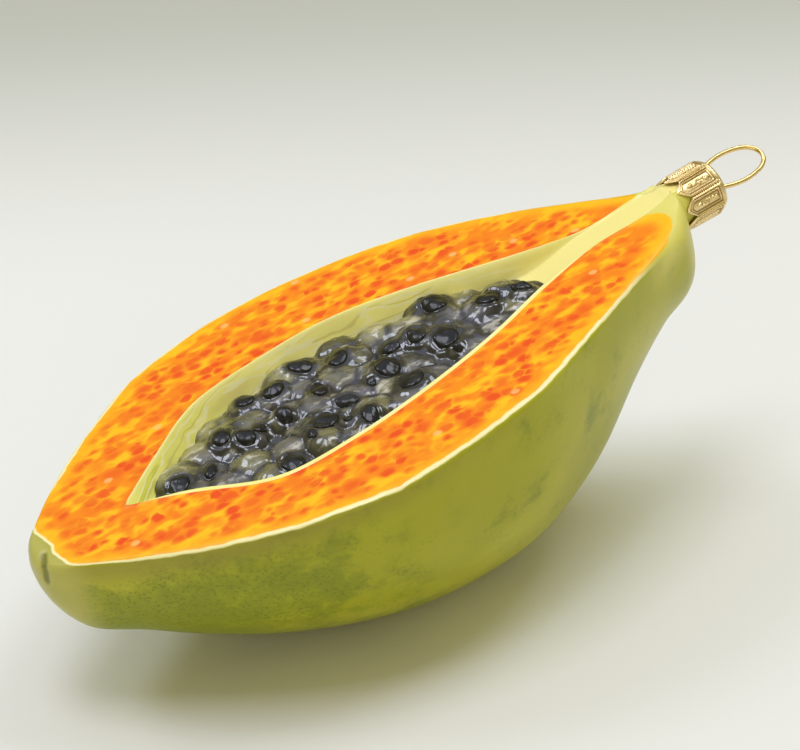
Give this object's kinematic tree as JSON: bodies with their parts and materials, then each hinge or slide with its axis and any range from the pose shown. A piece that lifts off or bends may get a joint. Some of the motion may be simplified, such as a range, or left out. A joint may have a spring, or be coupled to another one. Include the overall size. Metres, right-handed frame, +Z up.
{
  "type": "glass papaya ornament",
  "caption": "Hanging glass tree ornament shaped as a papaya half, cut face up, with a bed of black seeds, a gilt crown cap and a wire loop.",
  "frame": {"origin": "middle of the small flat spot under the belly, on the surface that the ornament lies on", "axes": "+X along the ornament towards the cap and loop, +Y to the side away from the viewer of the picture, +Z up"},
  "size_m": [0.157, 0.073, 0.0637],
  "materials": {
    "painted_glass": "opaque paint and clear lacquer on blown glass: olive green rind, orange cut face, grey and black seeds",
    "gilt_cap": "stamped sheet, pale gold, satin with bright edges",
    "gilt_wire": "drawn wire, pale gold, half gloss"
  },
  "bodies": {
    "root": {"glass_body": "painted_glass", "cap": "gilt_cap", "hanger": "gilt_wire"}
  },
  "joints": []
}
